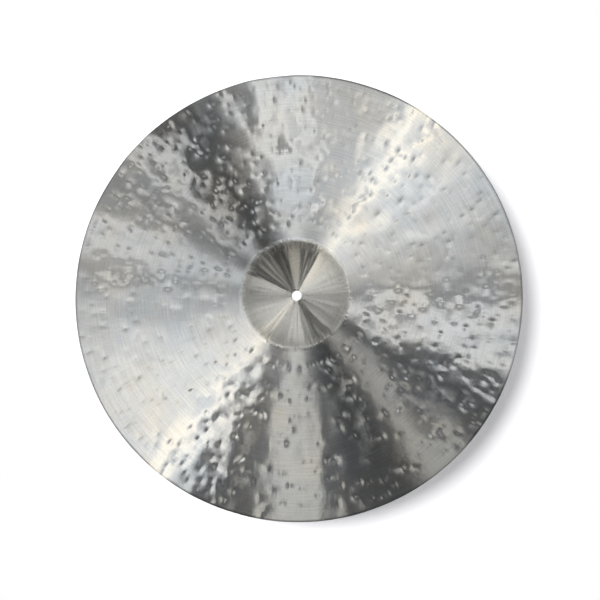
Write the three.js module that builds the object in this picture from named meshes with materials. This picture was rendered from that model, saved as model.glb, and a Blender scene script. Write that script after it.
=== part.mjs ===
// A hand-hammered gong disc, made as one piece of sheet metal: a shallow bowed plate with a
// raised cup in the middle and one round hole through the cup.
//
// Millimetres, +Z up. The disc hangs upright: its axis is Y, its hollow side faces -Y and its
// cup bulges towards +Y. The origin is the middle of the centre hole, half way through the sheet.

import * as THREE from 'three';

// Driving dimensions
const RIM_RADIUS = 254;        // a 20 inch disc
const SHEET = 1.2;             // thickness of the metal
const HOLE_RADIUS = 6.25;      // the usual 12.5 mm hole for a cord, a peg or a stand's rod
const LAND_RADIUS = 11;        // flat ring around the hole
const CUP_RADIUS = 65;         // where the cup meets the plate
const CUP_SPHERE_RADIUS = 100; // the cup is a cap of this sphere
const CUP_FILLET = 6;          // radius of the bend between cup and plate
const BOW_HEIGHT = 20;         // how far the plate rises from the cup's foot to its rim

// Steps along the outline and around the axis
const CUP_STEPS = 5;
const FILLET_STEPS = 3;
const BOW_STEPS = 7;
const TURN_STEPS = 64;

// Slope of the plate's parabola at a radius, as an angle
const bowScale = BOW_HEIGHT / (RIM_RADIUS ** 2 - CUP_RADIUS ** 2);
const bowSlope = (radius) => Math.atan(2 * bowScale * radius);

// The middle line of the sheet, from the hole to the rim. Each stop has its radius, its place
// along the axis, and the angle by which the sheet falls away from the flat land there.
function middleLine() {
  const stops = [{ radius: HOLE_RADIUS, axial: 0, slope: 0 }, { radius: LAND_RADIUS, axial: 0, slope: 0 }];

  // The cup: a spherical cap, steepest where the fillet takes over. The fillet's end sits at
  // CUP_RADIUS, which fixes the angle at which the two arcs meet.
  const endSlope = bowSlope(CUP_RADIUS);
  const reach = CUP_RADIUS + CUP_FILLET * Math.sin(endSlope);
  const meetSlope = Math.asin(reach / (CUP_SPHERE_RADIUS + CUP_FILLET));
  const startSlope = Math.asin(LAND_RADIUS / CUP_SPHERE_RADIUS);
  const capCentre = -CUP_SPHERE_RADIUS * Math.cos(startSlope);
  for (let step = 1; step <= CUP_STEPS; step++) {
    const slope = startSlope + (meetSlope - startSlope) * step / CUP_STEPS;
    const radius = CUP_SPHERE_RADIUS * Math.sin(slope);
    stops.push({ radius, axial: capCentre + CUP_SPHERE_RADIUS * Math.cos(slope), slope });
  }

  // The bend at the cup's foot, an arc the other way
  const arcsSum = CUP_SPHERE_RADIUS + CUP_FILLET;
  const filletCentre = {
    radius: arcsSum * Math.sin(meetSlope),
    axial: capCentre + arcsSum * Math.cos(meetSlope),
  };
  for (let step = 1; step <= FILLET_STEPS; step++) {
    const slope = meetSlope + (endSlope - meetSlope) * step / FILLET_STEPS;
    const radius = filletCentre.radius - CUP_FILLET * Math.sin(slope);
    stops.push({ radius, axial: filletCentre.axial - CUP_FILLET * Math.cos(slope), slope });
  }

  // The plate, a parabola from the cup's foot to the rim
  const foot = stops[stops.length - 1];
  for (let step = 1; step <= BOW_STEPS; step++) {
    const radius = foot.radius + (RIM_RADIUS - foot.radius) * step / BOW_STEPS;
    const fall = bowScale * (radius ** 2 - foot.radius ** 2);
    stops.push({ radius, axial: foot.axial - fall, slope: bowSlope(radius) });
  }

  // The rim is cut square to the axis
  stops[stops.length - 1].slope = 0;
  return stops;
}

// The middle line moved by half the sheet to one side, along the sheet's own normal
function side(stops, offset) {
  return stops.map(({ radius, axial, slope }) => new THREE.Vector2(
    radius + offset * Math.sin(slope),
    axial + offset * Math.cos(slope),
  ));
}

// The closed outline: out along the hollow side, over the rim, back along the outer side
function outline() {
  const stops = middleLine();
  const hollowSide = side(stops, -SHEET / 2);
  const outerSide = side(stops, SHEET / 2).reverse();
  return [...hollowSide, ...outerSide, hollowSide[0].clone()];
}

// LatheGeometry turns the outline about Y, which is the disc's own axis
const silveryMetal = new THREE.MeshStandardMaterial({ color: 0xb9b7b0, roughness: 0.32, metalness: 1 });
const gongDisc = new THREE.Mesh(new THREE.LatheGeometry(outline(), TURN_STEPS), silveryMetal);
gongDisc.name = 'gong_disc';

const gong = new THREE.Group();
gong.add(gongDisc);

export default gong;
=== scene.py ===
"""A hand-hammered and lathed gong disc, upright, in a plain pale studio.

The disc is one sheet of metal. Its fine mesh carries the hammer dents and the slow waves of the
plate as real shape; its material carries the lathe lines and the finest unevenness. The hollow
side faces -Y.
"""

import math
import random

import bpy
import numpy as np
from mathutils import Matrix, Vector


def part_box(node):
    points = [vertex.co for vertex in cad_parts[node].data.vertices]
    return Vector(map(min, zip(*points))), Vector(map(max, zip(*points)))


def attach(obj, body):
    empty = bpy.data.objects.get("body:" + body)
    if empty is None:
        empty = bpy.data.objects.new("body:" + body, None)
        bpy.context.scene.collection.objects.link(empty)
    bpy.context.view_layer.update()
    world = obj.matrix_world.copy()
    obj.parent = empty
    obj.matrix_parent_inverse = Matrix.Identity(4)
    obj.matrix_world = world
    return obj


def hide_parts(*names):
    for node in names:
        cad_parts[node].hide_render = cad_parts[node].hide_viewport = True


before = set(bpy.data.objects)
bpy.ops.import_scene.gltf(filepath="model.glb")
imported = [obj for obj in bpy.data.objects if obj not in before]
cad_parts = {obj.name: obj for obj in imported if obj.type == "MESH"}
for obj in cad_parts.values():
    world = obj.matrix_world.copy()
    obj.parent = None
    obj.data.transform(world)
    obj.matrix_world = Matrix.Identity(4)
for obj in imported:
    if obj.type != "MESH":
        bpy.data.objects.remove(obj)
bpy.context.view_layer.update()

MM = 0.001

# The sheet's outline, in millimetres, as in the CAD part
disc_low, disc_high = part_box("gong_disc")
RIM_RADIUS = disc_high[0] / MM
SHEET = 1.2
HOLE_RADIUS = 6.25
LAND_RADIUS = 11
CUP_RADIUS = 65
CUP_SPHERE_RADIUS = 100
CUP_FILLET = 6
BOW_HEIGHT = 20

# Where the camera stands: turned away from the disc's axis, in rim radii from the rim's middle, and
# where it aims, across and up from there in metres. Then its sensor and lens, in millimetres.
CAMERA_RIGHT = math.radians(3.7)
CAMERA_DOWN = math.radians(4.7)
CAMERA_DISTANCE = 2.5
CAMERA_AIM = (0.0066, -0.0084)
SENSOR = 36
LENS = 33.6

# Paper just behind the disc and floor below it: how far away and half how wide, in metres
WALL_GAP = 0.0005
WALL_REACH = 0.9
FLOOR_DROP = 0.25
FLOOR_REACH = 0.7

# Mesh spacing along the radius and around the disc, in millimetres. It is finer around, because
# the dents are longer along the radius.
HOLLOW_SIDE_STEPS = (2.5, 1.3)
RAISED_SIDE_STEPS = (4.0, 2.4)

# Round-off of the rim and of the hole's edge, and the share of the sheet that stays straight there
EDGE_ROUND = 0.25
EDGE_STRAIGHT = 0.55

# Gloss of the lathe's fine grooves: roughness, anisotropy (below 0, so a reflection fans out along
# the radius), the same on the cup, and their share of the whole gloss
GROOVE_ROUGHNESS = 0.283
GROOVE_FAN = -0.73
CUP_ROUGHNESS = 0.31
CUP_FAN = -0.68
GROOVE_SHARE = 0.95

# Lines on the metal as noise: pace around the disc, pace along the radius, darkest shade. Then the
# middle range of the noise, and how much painted shade darkens the steep side of each dent.
LATHE_LINES = [(5.0, 1100.0, 0.86), (8.0, 500.0, 0.95), (170.0, 60.0, 0.94), (400.0, 700.0, 0.88)]
NOISE_MIDDLE = (0.34, 0.66)
STEEP_SIDE_PAINTED_SHADE = 0.5

# The cup is duller and yellower than the plate, which is clouded from bluish to yellowish
CUP_TINT = (0.78, 0.77, 0.715)
PLATE_TINTS = [(0.32, (0.78, 0.825, 0.855)), (0.50, (0.86, 0.87, 0.85)), (0.68, (0.93, 0.895, 0.82))]

# Unevenness finer than the mesh. On the plate: scale and height in metres. On the cup: pace around,
# pace along the radius, height per metre of radius.
PLATE_MARKS = (110.0, 0.00010)
CUP_STREAKS = (3.6, 12.0, 0.018)
CUP_EDGE_TICKS = (26.0, 60.0, 0.006)

# Radii, in metres, over which the cup's ticks begin, its colour ends and the plate's marks begin
TICKS_BEGIN = (0.050, 0.060)
CUP_TINT_END = (0.0605, 0.0655)
PLATE_MARKS_BEGIN = (0.063, 0.067)

# Hammer work: busy sectors as middle and half-width in degrees, share of blows, share of waves
BUSY_SECTORS = [
    (4, 12, 0.45, 0.40), (28, 20, 0.45, 0.35), (88, 28, 0.80, 1.10), (138, 20, 0.60, 0.35),
    (172, 14, 0.45, 0.10), (210, 28, 0.20, 0.05), (241, 9, 0.70, 0.90), (332, 14, 0.45, 0.05),
]
DENT_SEED = 11
DENT_TRIES = 3400
RING_DENTS = 46
RIM_TICKS = 420
# Radii of the first ring of dents, of the plain ring's outer edge and of the ticks at the rim
FIRST_DENT_RING = 86
PLAIN_RING_END = 80
RIM_TICK_RING = 238
# A dent's blunt tip and its steep and gentle sides, in half-widths, and a deep one, in millimetres
DENT_BLUNT = 0.35
STEEP_SIDE = 1.0
GENTLE_SIDE = 2.6
DEEP_BLOW = 0.45

# Waves of the plate: count, shortest and longest in millimetres, steepness. The patches choose where
# the short ones are. Lengths are true at the wave radius, and the quiet share of the short ones is
# also in the quiet sectors.
WAVE_SEED = 5
LONG_WAVES = (34, 30, 100, 0.0008)
SHORT_WAVES = (44, 20, 50, 0.0017)
WAVE_PATCHES = (12, 60, 140, 0.004)
WAVE_RADIUS = 150
QUIET_SHARE = 0.22


# ---------------------------------------------------------------- outline of the sheet

def bow_scale():
    """Fall of the plate's parabola over the square of the radius."""
    return BOW_HEIGHT / (RIM_RADIUS ** 2 - CUP_RADIUS ** 2)


def outline_facts():
    """Where the cup's cap, its fillet and the plate's parabola meet."""
    end_slope = math.atan(2 * bow_scale() * CUP_RADIUS)
    reach = CUP_RADIUS + CUP_FILLET * math.sin(end_slope)
    arcs_sum = CUP_SPHERE_RADIUS + CUP_FILLET
    meet_slope = math.asin(reach / arcs_sum)
    cap_centre = -math.sqrt(CUP_SPHERE_RADIUS ** 2 - LAND_RADIUS ** 2)
    fillet_radius = arcs_sum * math.sin(meet_slope)
    fillet_axial = cap_centre + arcs_sum * math.cos(meet_slope)
    foot_axial = fillet_axial - CUP_FILLET * math.cos(end_slope)
    return {
        "cap_end": CUP_SPHERE_RADIUS * math.sin(meet_slope),
        "cap_centre": cap_centre,
        "fillet_radius": fillet_radius,
        "fillet_axial": fillet_axial,
        "foot_axial": foot_axial,
    }


def middle_axial(radius):
    """Axial place of the sheet's middle at each radius (numpy array), in millimetres."""
    facts = outline_facts()
    on_sphere = np.minimum(radius, CUP_SPHERE_RADIUS)
    cap = facts["cap_centre"] + np.sqrt(CUP_SPHERE_RADIUS ** 2 - on_sphere ** 2)
    across = np.clip(facts["fillet_radius"] - radius, -CUP_FILLET, CUP_FILLET)
    fillet = facts["fillet_axial"] - np.sqrt(CUP_FILLET ** 2 - across ** 2)
    plate = facts["foot_axial"] - bow_scale() * (radius ** 2 - CUP_RADIUS ** 2)
    axial = np.where(radius < LAND_RADIUS, 0.0, cap)
    axial = np.where(radius > facts["cap_end"], fillet, axial)
    return np.where(radius > CUP_RADIUS, plate, axial)


def half_sheet(radius):
    """Half the sheet, measured along the axis, so that it is constant along the normal."""
    nudge = 0.05
    slope = (middle_axial(radius + nudge) - middle_axial(radius - nudge)) / (2 * nudge)
    return SHEET / 2 * np.sqrt(1 + slope ** 2)


# ---------------------------------------------------------------- hammer work

def smooth_step(low, high, value):
    t = np.clip((value - low) / (high - low), 0.0, 1.0)
    return t * t * (3 - 2 * t)


def busyness(azimuth):
    """Shares of blows and of waves at an azimuth in degrees (number or array), from 0 to about 1."""
    blows, swells = 0 * azimuth, 0 * azimuth
    for middle, half_width, blow_share, wave_share in BUSY_SECTORS:
        apart = (azimuth - middle + 180) % 360 - 180
        fade = np.exp(-(apart / half_width) ** 2)
        blows = blows + blow_share * fade
        swells = swells + wave_share * fade
    return blows, swells


def make_dents():
    """Each dent as x, z, long and short half-width, turn, depth (mm, radians) and steep side."""
    rng = random.Random(DENT_SEED)
    dents = []
    places = np.zeros((0, 2))

    def strike(radius, azimuth, gap, size, stretch, depth):
        nonlocal places
        angle = math.radians(azimuth)
        x, z = radius * math.cos(angle), radius * math.sin(angle)
        if len(places) and np.min(np.hypot(places[:, 0] - x, places[:, 1] - z)) < gap:
            return
        dents.append((x, z, size * stretch, size, angle + rng.gauss(0, 0.3), depth, rng.choice((-1, 1))))
        places = np.vstack([places, (x, z)])

    # A ring of blows just outside the plain lathed ring around the cup
    for count in range(RING_DENTS):
        azimuth = count * 360 / RING_DENTS + rng.uniform(-3, 3)
        strike(FIRST_DENT_RING + rng.uniform(-2.5, 3.5), azimuth, 5.5, rng.uniform(2.4, 3.4),
               rng.uniform(1.0, 1.4), rng.uniform(0.4, 0.7))

    # Short ticks along the rim
    for _ in range(RIM_TICKS):
        azimuth = rng.uniform(0, 360)
        if rng.random() < 0.3 + busyness(azimuth)[0]:
            strike(rng.gauss(RIM_TICK_RING, 8), azimuth, rng.uniform(5, 8), rng.uniform(1.9, 2.8),
                   rng.uniform(1.2, 2.0), rng.uniform(0.2, 0.45))

    # Blows all over the plate
    for _ in range(DENT_TRIES):
        radius = math.sqrt(rng.uniform(PLAIN_RING_END ** 2, (RIM_RADIUS - 6) ** 2))
        azimuth = rng.uniform(0, 360)
        if rng.random() < 0.16 + 0.75 * busyness(azimuth)[0]:
            strike(radius, azimuth, rng.uniform(7, 12), rng.uniform(1.8, 3.8),
                   rng.uniform(0.8, 1.4), rng.choice((0.25, 0.4, 0.65)) * rng.uniform(0.8, 1.2))
    return [dent for dent in dents if math.hypot(dent[0], dent[1]) < RIM_RADIUS - 3]


def dent_field(x, z, dents):
    """How far the blows push each point towards +Y, in millimetres, and how much painted shade it gets.

    The steep side of each blow gets painted shade, which darkens its colour.
    """
    push = np.zeros_like(x)
    painted_dent_shade = np.zeros_like(x)
    for dent_x, dent_z, long, short, turn, depth, steep_side in dents:
        near = np.nonzero((np.abs(x - dent_x) < 4 * long) & (np.abs(z - dent_z) < 4 * long))[0]
        dx, dz = x[near] - dent_x, z[near] - dent_z
        along = (dx * math.cos(turn) + dz * math.sin(turn)) / long
        across = (-dx * math.sin(turn) + dz * math.cos(turn)) / short
        steep = smooth_step(-0.2, 0.5, across * steep_side)
        across = np.where(across * steep_side > 0, across / STEEP_SIDE, across / GENTLE_SIDE)
        rho = np.sqrt(along ** 2 + across ** 2 + DENT_BLUNT ** 2) - DENT_BLUNT
        push[near] += depth * np.exp(-1.5 * rho)
        # Painted shade on the steep side of each blow
        painted_dent_shade[near] += depth * steep * np.exp(-2.0 * rho)
    return push, np.clip(painted_dent_shade / DEEP_BLOW, 0.0, 1.0)


def waves(rng, x, z, count, shortest, longest, steepness):
    """A sum of sines of random length and heading, all equally steep, in millimetres."""
    total = np.zeros_like(x)
    for _ in range(count):
        length = shortest * (longest / shortest) ** rng.random()
        heading = rng.uniform(0, 2 * math.pi)
        phase = rng.uniform(0, 2 * math.pi)
        along = x * math.cos(heading) + z * math.sin(heading)
        total += steepness * length * np.sin(2 * math.pi * along / length + phase)
    return total


def wave_field(x, z, radius, azimuth):
    """The plate's slow waves everywhere, and short ones mostly in patches of the busy sectors."""
    rng = random.Random(WAVE_SEED)
    # Waves are longer towards the rim
    squeeze = (WAVE_RADIUS / radius) ** 0.3
    x, z = x * squeeze, z * squeeze
    slow = waves(rng, x, z, *LONG_WAVES) * smooth_step(CUP_RADIUS, CUP_RADIUS + 50, radius)
    short = waves(rng, x, z, *SHORT_WAVES) * smooth_step(CUP_RADIUS + 8, CUP_RADIUS + 40, radius)
    patches = waves(rng, x, z, *WAVE_PATCHES)
    where = np.clip(QUIET_SHARE + busyness(azimuth)[1], 0, 1.1) * smooth_step(-1.2, 0.8, patches)
    return slow + short * where


# ---------------------------------------------------------------- the disc's mesh

def ring_radii(step):
    """Radii from the hole to the rim, with a ring on each bend of the outline."""
    marks = [HOLE_RADIUS + EDGE_ROUND, LAND_RADIUS, outline_facts()["cap_end"], CUP_RADIUS]
    marks.append(RIM_RADIUS - EDGE_ROUND)
    radii = [marks[0]]
    for start, end in zip(marks, marks[1:]):
        count = max(4, round((end - start) / step)) if end > LAND_RADIUS else 2
        radii += [start + (end - start) * n / count for n in range(1, count + 1)]
    return radii


class DiscMesh:
    """Rings of points stitched to each other into one closed sheet."""

    def __init__(self):
        self.rings = []
        self.radius, self.azimuth, self.offset = [], [], []
        self.count = 0

    def add_ring(self, radius, offset, step):
        """offset is in half sheets: -1 on the hollow side, +1 on the raised side."""
        points = max(24, round(2 * math.pi * radius / step))
        start = 0.5 * (len(self.rings) % 2) / points
        self.rings.append((self.count, points, start))
        for n in range(points):
            self.radius.append(radius)
            self.azimuth.append(2 * math.pi * (n / points + start))
            self.offset.append(offset)
        self.count += points

    def faces(self):
        """Triangles from each ring to the next one, and from the last ring to the first."""
        triangles = []
        closed = self.rings + [self.rings[0]]
        for (base_a, count_a, start_a), (base_b, count_b, start_b) in zip(closed, closed[1:]):
            a = b = 0
            while a < count_a or b < count_b:
                next_a = (a + 1) / count_a + start_a
                next_b = (b + 1) / count_b + start_b
                if b >= count_b or (a < count_a and next_a <= next_b):
                    new = base_a + (a + 1) % count_a
                    triangles.append((base_a + a % count_a, new, base_b + b % count_b))
                    a += 1
                else:
                    new = base_b + (b + 1) % count_b
                    triangles.append((base_a + a % count_a, new, base_b + b % count_b))
                    b += 1
        return triangles


def make_disc():
    mesh = DiscMesh()
    hollow_along, hollow_around = HOLLOW_SIDE_STEPS
    raised_along, raised_around = RAISED_SIDE_STEPS
    for radius in ring_radii(hollow_along):
        mesh.add_ring(radius, -1.0, hollow_around)
    for offset in (-EDGE_STRAIGHT, EDGE_STRAIGHT):
        mesh.add_ring(RIM_RADIUS, offset, raised_around)
    for radius in reversed(ring_radii(raised_along)):
        mesh.add_ring(radius, 1.0, raised_around)
    for offset in (EDGE_STRAIGHT, -EDGE_STRAIGHT):
        mesh.add_ring(HOLE_RADIUS, offset, hollow_around)

    radius = np.array(mesh.radius)
    azimuth = np.array(mesh.azimuth)
    offset = np.array(mesh.offset)
    x, z = radius * np.cos(azimuth), radius * np.sin(azimuth)
    hammered = smooth_step(CUP_RADIUS + 2, CUP_RADIUS + 12, radius)
    blows, painted_dent_shade = dent_field(x, z, make_dents())
    push = hammered * blows + wave_field(x, z, radius, np.degrees(azimuth))
    y = middle_axial(radius) + offset * half_sheet(radius) + push
    points = np.stack([x, y, z], axis=1) * MM

    data = bpy.data.meshes.new("hammered_disc")
    data.from_pydata(points.tolist(), [], mesh.faces())
    data.validate()
    data.update()
    data.shade_smooth()
    # Painted shade on the steep sides of the dents, which darkens the metal's colour
    data.attributes.new("painted_steep_shade", "FLOAT", "POINT").data.foreach_set("value", hammered * painted_dent_shade)
    disc = bpy.data.objects.new("hammered_disc", data)
    bpy.context.scene.collection.objects.link(disc)
    return disc


# ---------------------------------------------------------------- materials

class Nodes:
    """Short calls for adding linked shader nodes to one tree."""

    def __init__(self, tree):
        self.tree = tree
        tree.nodes.clear()

    def add(self, kind, inputs=None, **settings):
        node = self.tree.nodes.new(kind)
        for name, value in settings.items():
            setattr(node, name, value)
        for socket, value in (inputs or {}).items():
            if isinstance(value, bpy.types.NodeSocket):
                self.tree.links.new(value, node.inputs[socket])
            else:
                node.inputs[socket].default_value = value
        return node

    def math(self, operation, a, b=0.0, clamp=False):
        node = self.add("ShaderNodeMath", {0: a, 1: b}, operation=operation, use_clamp=clamp)
        return node.outputs[0]

    def vector(self, operation, inputs):
        return self.add("ShaderNodeVectorMath", inputs, operation=operation).outputs["Vector"]

    def length(self, vector):
        return self.add("ShaderNodeVectorMath", {0: vector}, operation="LENGTH").outputs["Value"]

    def noise(self, place, scale, detail, roughness):
        inputs = {"Vector": place, "Scale": scale, "Detail": detail, "Roughness": roughness}
        return self.add("ShaderNodeTexNoise", inputs).outputs["Fac"]

    def remap(self, value, before, after=(0.0, 1.0), smooth=False):
        """Moves the range before onto the range after, and stays within it."""
        inputs = {"Value": value, "From Min": before[0], "From Max": before[1],
                  "To Min": after[0], "To Max": after[1]}
        node = self.add("ShaderNodeMapRange", inputs)
        node.interpolation_type = "SMOOTHSTEP" if smooth else "LINEAR"
        return node.outputs["Result"]

    def blend(self, factor, first, second):
        node = self.add("ShaderNodeMix", {"Factor": factor, 6: first, 7: second}, data_type="RGBA")
        return node.outputs[2]

    def ramp(self, value, stops):
        node = self.add("ShaderNodeValToRGB", {"Fac": value})
        elements = node.color_ramp.elements
        while len(elements) < len(stops):
            elements.new(0.5)
        for element, (position, colour) in zip(elements, stops):
            element.position = position
            element.color = (*colour, 1.0)
        return node.outputs["Color"]


def turn_of(make, split):
    """Turn around the disc's axis, from 0 at +X through +Z to 1."""
    angle = make.math("ARCTAN2", split.outputs["Z"], split.outputs["X"])
    return make.math("FRACT", make.math("ADD", make.math("DIVIDE", angle, 2 * math.pi), 1.0))


def drawn_noise(make, outward, radius, around, along):
    """Noise with its own pace around the disc (per unit circle) and along the radius (per metre)."""
    turned = make.vector("SCALE", {0: outward, 3: around})
    shift = make.add("ShaderNodeCombineXYZ", {"Y": make.math("MULTIPLY", radius, along)})
    place = make.vector("ADD", {0: turned, 1: shift.outputs[0]})
    return make.noise(place, 1.0, 1.5, 0.55)


def fine_marks(make, outward, flat, radius):
    """Normal bumped by unevenness finer than the mesh, and by drawn-out marks on the cup."""
    scale, amount = PLATE_MARKS
    marks = make.noise(flat, scale, 2.0, 0.6)
    plate = make.remap(radius, PLATE_MARKS_BEGIN)
    height = make.math("MULTIPLY", make.math("MULTIPLY", marks, plate), amount)
    cup = make.math("MULTIPLY", make.math("SUBTRACT", 1.0, plate), radius)
    cup_edge = make.math("MULTIPLY", cup, make.remap(radius, TICKS_BEGIN, smooth=True))
    for (around, along, amount), where in ((CUP_STREAKS, cup), (CUP_EDGE_TICKS, cup_edge)):
        drawn = drawn_noise(make, outward, radius, around, along)
        raised = make.math("MULTIPLY", make.math("MULTIPLY", drawn, where), amount)
        height = make.math("ADD", height, raised)
    return make.add("ShaderNodeBump", {"Height": height, "Distance": 1.0}).outputs["Normal"]


def grooves(make, roughness, fan, shared):
    """Gloss of fine grooves around the disc, which fan a reflection out along the radius."""
    inputs = {"Roughness": roughness, "Anisotropy": fan, **shared}
    return make.add("ShaderNodeBsdfAnisotropic", inputs, distribution="BECKMANN").outputs[0]


def hammered_metal():
    material = bpy.data.materials.new("hammered_metal")
    material.use_nodes = True
    make = Nodes(material.node_tree)
    place = make.add("ShaderNodeTexCoord").outputs["Object"]
    split = make.add("ShaderNodeSeparateXYZ", {0: place})
    flat = make.add("ShaderNodeCombineXYZ", {"X": split.outputs["X"], "Z": split.outputs["Z"]}).outputs[0]
    outward = make.vector("NORMALIZE", {0: flat})
    radius = make.length(flat)

    # Lathe lines, fine and coarse, drawn out around the disc, and fine scratches along the radius
    # Painted shade darkens the steep side of each dent
    painted_steep_shade = make.add("ShaderNodeAttribute", attribute_name="painted_steep_shade").outputs["Fac"]
    shade = make.math("SUBTRACT", 1.0, make.math("MULTIPLY", painted_steep_shade, STEEP_SIDE_PAINTED_SHADE))
    for around, along, darkest in LATHE_LINES:
        lines = drawn_noise(make, outward, radius, around, along)
        shade = make.math("MULTIPLY", shade, make.remap(lines, NOISE_MIDDLE, (darkest, 1.0)))

    # Cloudy tarnish and wear, which tint the plate and change the plain gloss
    clouds = make.noise(place, 11.0, 5.0, 0.6)
    on_cup = make.remap(radius, CUP_TINT_END, (1.0, 0.0))
    tint = make.blend(on_cup, make.ramp(clouds, PLATE_TINTS), (*CUP_TINT, 1.0))
    colour = make.vector("SCALE", {0: tint, 3: shade})
    rough = make.remap(clouds, (0.3, 0.7), (0.30, 0.40))

    # A little plain gloss, and the gloss of the grooves
    shared = {"Tangent": outward, "Normal": fine_marks(make, outward, flat, radius)}
    metal = make.add("ShaderNodeBsdfPrincipled", {
        "Base Color": colour, "Roughness": rough, "Metallic": 1.0, "Anisotropic": 0.9, **shared})
    shared["Color"] = colour
    on_plate = grooves(make, GROOVE_ROUGHNESS, GROOVE_FAN, shared)
    in_cup = grooves(make, CUP_ROUGHNESS, CUP_FAN, shared)
    lathed = make.add("ShaderNodeMixShader", {0: on_cup, 1: on_plate, 2: in_cup})
    mix = make.add("ShaderNodeMixShader", {0: GROOVE_SHARE, 1: metal.outputs[0], 2: lathed.outputs[0]})
    make.add("ShaderNodeOutputMaterial", {"Surface": mix.outputs[0]})
    return material


# ---------------------------------------------------------------- studio

# What stands around the disc: level high up (near its axis), level low down, warmth (red over blue)
DARK = (0.01, 0.14, 0.94)
DIM = (0.28, 0.25, 0.98)
WARM_DIM = (0.38, 0.60, 1.08)
WOOD = (0.82, 0.50, 1.12)
GREY = (0.75, 0.35, 0.98)
CEILING = (1.05, 0.10, 0.98)
PALE = (1.05, 0.40, 0.99)
BRIGHT = (1.40, 0.35, 1.00)
LAMP = (2.60, 1.40, 1.40)

# The room as the disc mirrors it: what stands from each azimuth on, in degrees from +X towards +Z.
# Rows start at 0 and at 180, where the two halves of the ramp meet.
ROOM = [
    (0, DIM), (5, GREY), (20, PALE), (38, BRIGHT), (52, LAMP), (54.5, BRIGHT), (60, CEILING), (84, BRIGHT),
    (99, GREY), (107, DIM), (117, DARK), (131, PALE), (142, DIM), (156, PALE), (170, DIM), (177, GREY),
    (180, GREY), (190, PALE), (204, BRIGHT), (231, LAMP), (233.5, BRIGHT), (243, DARK), (262, WOOD),
    (279, DARK), (305, WARM_DIM), (319, DARK), (336, GREY), (340, BRIGHT), (352, DIM),
]

# How far into a sector the blend with the next one reaches, in degrees: less where it is bright
SHARP_EDGE = 1.0
SOFT_EDGE = 2.5

# Below the disc the floor takes away nearly all that is left far off the axis
FLOOR_SIDE = (240, 337)
FLOOR_EDGE = 3.6
FAR_LEFT = 0.55
FLOOR_LEFT = 0.10

# The ball that carries the room, in metres, and its overall brightness
ROOM_RADIUS = 0.45
ROOM_LEVEL = 1.4

# Angles off the disc's axis over which the room turns from high up to low down, from the dark
# camera and whoever holds it to the lit room, and from near to far off
HIGH_TO_LOW = (24, 46)
CAMERA_TO_ROOM = (8, 18)
NEAR_TO_FAR = (42, 62)
CAMERA_LEVEL = 0.02


def sector_edge(kind, width):
    """A narrow sector keeps at least a fifth of its width unblended."""
    return SHARP_EDGE if kind in (BRIGHT, LAMP) else min(SOFT_EDGE, 0.4 * width)


def room_ramp(make, turn, ring):
    """Colour at a turn of 0 to 1 around the axis. A ramp holds 32 stops, so each half has its own."""
    ends = [azimuth for azimuth, _ in ROOM[1:]] + [360]
    halves = []
    twice = make.math("MULTIPLY", turn, 2.0)
    for start, value in ((0, make.math("MULTIPLY", turn, 2.0, clamp=True)),
                         (180, make.math("SUBTRACT", twice, 1.0, clamp=True))):
        stops = []
        for (azimuth, kind), end in zip(ROOM, ends):
            if start <= azimuth < start + 180:
                colour = room_colour(kind[ring], kind[2])
                edge = sector_edge(kind, end - azimuth)
                stops.append(((azimuth + edge - start) / 180, colour))
                stops.append(((end - edge - start) / 180, colour))
        halves.append(make.ramp(value, stops))
    return make.blend(make.math("GREATER_THAN", turn, 0.5), *halves)


def room_colour(level, warmth):
    """A grey of this level, tinted so that its red over its blue is warmth."""
    return (level * warmth ** 0.35, level, level / warmth ** 0.65)


def make_room():
    """A ball around the disc that only reflections see, from dark corners to lamps."""
    material = bpy.data.materials.new("room")
    material.use_nodes = True
    material.cycles.emission_sampling = "NONE"
    make = Nodes(material.node_tree)
    place = make.add("ShaderNodeTexCoord").outputs["Object"]
    split = make.add("ShaderNodeSeparateXYZ", {0: place})
    turn = turn_of(make, split)
    forward = make.math("DIVIDE", make.math("ABSOLUTE", split.outputs["Y"]), ROOM_RADIUS)

    def by_angle(angles, after, smooth=False):
        return make.remap(forward, [math.cos(math.radians(angle)) for angle in angles], after, smooth)

    lowness = by_angle(HIGH_TO_LOW, (0.0, 1.0), smooth=True)
    colour = make.blend(lowness, room_ramp(make, turn, 0), room_ramp(make, turn, 1))
    strength = by_angle(CAMERA_TO_ROOM, (CAMERA_LEVEL, ROOM_LEVEL))
    far_left, floor_left = (FAR_LEFT,) * 3, (FLOOR_LEFT,) * 3
    start, end, edge = (azimuth / 360 for azimuth in (*FLOOR_SIDE, FLOOR_EDGE))
    far_level = make.ramp(turn, [(0.0, far_left), (start - edge, far_left), (start, floor_left),
                                 (end, floor_left), (end + edge, far_left)])
    left = make.blend(by_angle(NEAR_TO_FAR, (0.0, 1.0)), (1.0, 1.0, 1.0, 1.0), far_level)
    colour = make.vector("MULTIPLY", {0: colour, 1: left})
    glow = make.add("ShaderNodeEmission", {"Color": colour, "Strength": strength})
    make.add("ShaderNodeOutputMaterial", {"Surface": glow.outputs[0]})
    bpy.ops.mesh.primitive_uv_sphere_add(segments=96, ring_count=48, radius=ROOM_RADIUS)
    ball = bpy.context.object
    ball.name = "room"
    ball.data.materials.append(material)
    # Reflections fan out around the way the metal mirrors the camera, so the room turns with it
    ball.rotation_euler = (-CAMERA_DOWN, 0, -CAMERA_RIGHT)
    for kind in ("camera", "diffuse", "transmission", "shadow", "volume_scatter"):
        setattr(ball, "visible_" + kind, False)


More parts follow.
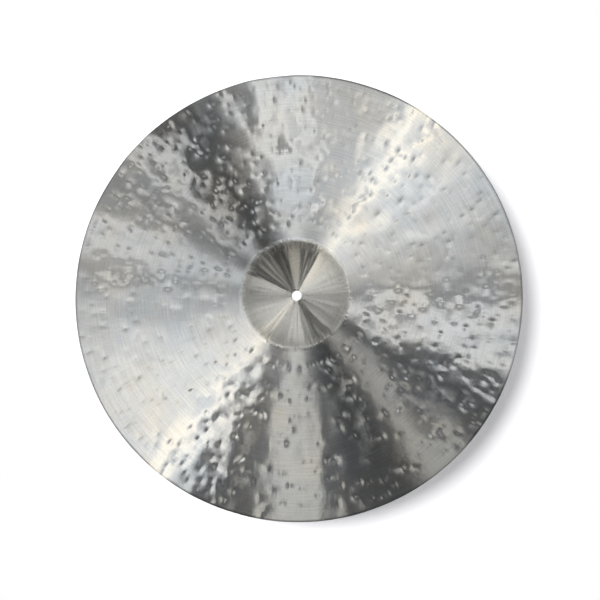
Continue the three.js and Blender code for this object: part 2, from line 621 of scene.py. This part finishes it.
def make_world():
    """Pale light from all around. The camera itself sees pure white."""
    world = bpy.data.worlds.new("studio")
    bpy.context.scene.world = world
    world.use_nodes = True
    make = Nodes(world.node_tree)
    around = make.add("ShaderNodeBackground", {"Color": (0.45, 0.45, 0.46, 1.0), "Strength": 1.0})
    behind = make.add("ShaderNodeBackground", {"Color": (1.0, 1.0, 1.0, 1.0), "Strength": 1.0})
    camera_ray = make.add("ShaderNodeLightPath").outputs["Is Camera Ray"]
    mix = make.add("ShaderNodeMixShader", {0: camera_ray, 1: around.outputs[0], 2: behind.outputs[0]})
    make.add("ShaderNodeOutputWorld", {"Surface": mix.outputs[0]})


def pale_matt(name, paleness, full, gone, one_sided):
    """Matt white that fades out from full to gone metres from its middle.

    One-sided matt also fades where it is seen edge on, and isn't seen from behind.
    """
    material = bpy.data.materials.new(name)
    material.use_nodes = True
    make = Nodes(material.node_tree)
    matt = make.add("ShaderNodeBsdfDiffuse", {"Color": (paleness, paleness, paleness + 0.01, 1.0)})
    clear = make.add("ShaderNodeBsdfTransparent")
    place = make.add("ShaderNodeTexCoord").outputs["Object"]
    fade = make.remap(make.length(place), (full, gone), smooth=True)
    if one_sided:
        edge_on = make.add("ShaderNodeLayerWeight", {"Blend": 0.5}).outputs["Facing"]
        edge_on = make.remap(edge_on, (0.60, 0.78))
        behind = make.add("ShaderNodeNewGeometry").outputs["Backfacing"]
        fade = make.math("MAXIMUM", make.math("MAXIMUM", behind, edge_on), fade)
    mix = make.add("ShaderNodeMixShader", {0: fade, 1: matt.outputs[0], 2: clear.outputs[0]})
    make.add("ShaderNodeOutputMaterial", {"Surface": mix.outputs[0]})
    return material


def make_plane(name, corners, material):
    data = bpy.data.meshes.new(name)
    data.from_pydata(corners, [], [(0, 1, 2, 3)])
    data.materials.append(material)
    plane = bpy.data.objects.new(name, data)
    bpy.context.scene.collection.objects.link(plane)
    return plane


def square(half, place):
    """Corners of a square around the origin; place turns across and along into a point."""
    return [place(half * across, half * along) for across, along in ((-1, -1), (1, -1), (1, 1), (-1, 1))]


def make_studio():
    wall_y = disc_high[1] + WALL_GAP
    paper = pale_matt("pale_paper", 0.86, full=0.31, gone=0.42, one_sided=True)
    wall = make_plane("backdrop", square(WALL_REACH, lambda across, up: (across, wall_y, up)), paper)
    for kind in ("diffuse", "glossy", "transmission", "shadow"):
        setattr(wall, "visible_" + kind, False)

    matt_floor = pale_matt("pale_floor", 0.93, full=0.25, gone=0.62, one_sided=False)
    floor = make_plane("floor", square(FLOOR_REACH, lambda across, along: (across, along, 0)), matt_floor)
    floor.location.z = disc_low[2] - FLOOR_DROP
    floor.visible_glossy = False


def make_light(name, place, aim, size, power):
    """A round soft lamp that the metal doesn't mirror: its reflections come from the room."""
    data = bpy.data.lights.new(name, "AREA")
    data.shape = "DISK"
    data.size = size
    data.energy = power
    light = bpy.data.objects.new(name, data)
    bpy.context.scene.collection.objects.link(light)
    light.location = place
    away = [a - b for a, b in zip(place, aim)]
    light.rotation_euler = Vector(away).to_track_quat("Z", "Y").to_euler()
    light.visible_glossy = False
    light.visible_camera = False


def make_camera():
    """Looks nearly along the disc's axis, from a little below and to the right of it."""
    data = bpy.data.cameras.new("camera")
    data.sensor_width = SENSOR
    data.lens = LENS
    camera = bpy.data.objects.new("camera", data)
    bpy.context.scene.collection.objects.link(camera)
    distance = CAMERA_DISTANCE * RIM_RADIUS * MM
    right, down = CAMERA_RIGHT, CAMERA_DOWN
    rim_y = disc_low[1]
    back = Vector((math.sin(right), -math.cos(right) * math.cos(down), -math.sin(down))).normalized()
    aim = Vector((CAMERA_AIM[0], rim_y, CAMERA_AIM[1]))
    camera.location = Vector((0, rim_y, 0)) + back * distance
    camera.rotation_euler = (camera.location - aim).to_track_quat("Z", "Y").to_euler()
    data.clip_start = 0.01
    bpy.context.scene.camera = camera


# ---------------------------------------------------------------- put together

make_camera()
disc = make_disc()
disc.data.materials.append(hammered_metal())
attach(disc, "root")
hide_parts("gong_disc")
make_world()
make_room()
make_studio()
make_light("key", (-2.2, -3.4, 1.05), aim=(0, 0, 0), size=1.9, power=190)
make_light("overhead", (0, -0.6, 2.6), aim=(0, 0, -0.5), size=2.6, power=60)
bpy.context.scene.view_settings.view_transform = "Standard"
